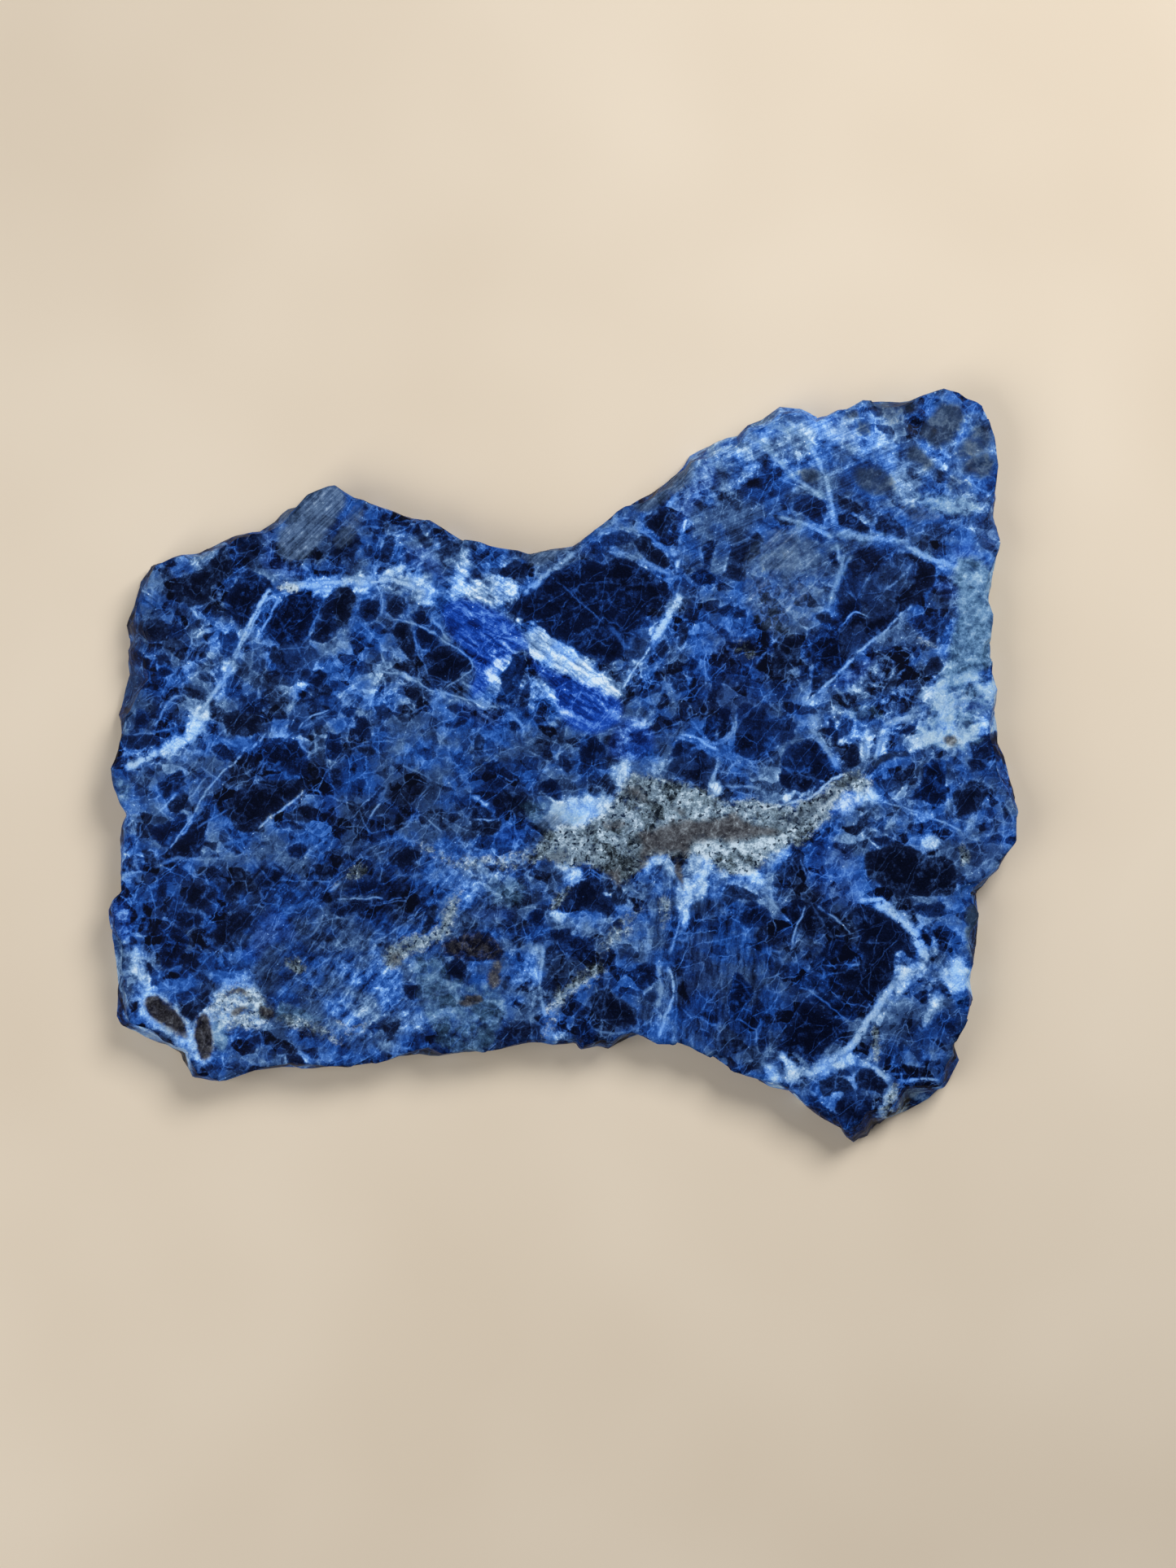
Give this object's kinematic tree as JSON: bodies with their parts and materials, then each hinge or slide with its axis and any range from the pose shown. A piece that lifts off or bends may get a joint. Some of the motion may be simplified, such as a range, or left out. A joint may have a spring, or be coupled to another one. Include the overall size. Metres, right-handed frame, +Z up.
{
  "type": "rough sodalite slab",
  "caption": "Flat slab of rough blue sodalite, sawn on both faces, with a broken uneven rim; it lies on its sawn underside.",
  "frame": {"origin": "middle of the slab's footprint, on the sawn underside that it lies on", "axes": "+X along the slab's length towards its broad end, +Y across it towards the right shoulder, +Z up through its thickness"},
  "size_m": [0.1202, 0.0994, 0.006],
  "materials": {
    "sodalite": "sawn and damp, semi-gloss, navy blue clasts in paler blue and white veins"
  },
  "bodies": {
    "root": {"sodalite_slab": "sodalite"}
  },
  "joints": []
}
